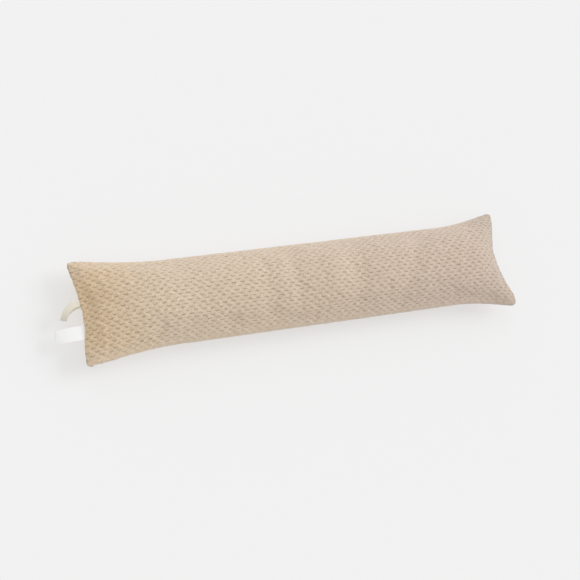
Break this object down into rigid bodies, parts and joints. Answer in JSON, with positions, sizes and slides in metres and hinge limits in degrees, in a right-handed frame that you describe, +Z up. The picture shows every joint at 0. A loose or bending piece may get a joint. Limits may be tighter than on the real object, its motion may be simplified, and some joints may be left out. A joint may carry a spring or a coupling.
{
  "type": "draught excluder",
  "caption": "Long filled draught excluder in dimpled beige fleece, with a cotton tape hanging loop and a blank label in one end seam.",
  "frame": {"origin": "middle of the flat resting face under the cushion", "axes": "+X along the cushion, away from the end with the tape; +Z up, out of the crowned face; +Y across, to the left when looking along +X"},
  "size_m": [0.9476, 0.199, 0.0906],
  "materials": {
    "fleece": "matte short pile",
    "tape": "matte woven cotton",
    "label": "smooth satin weave"
  },
  "bodies": {
    "root": {"cushion": "fleece", "hanging_loop": "tape", "care_label": "label"}
  },
  "joints": []
}
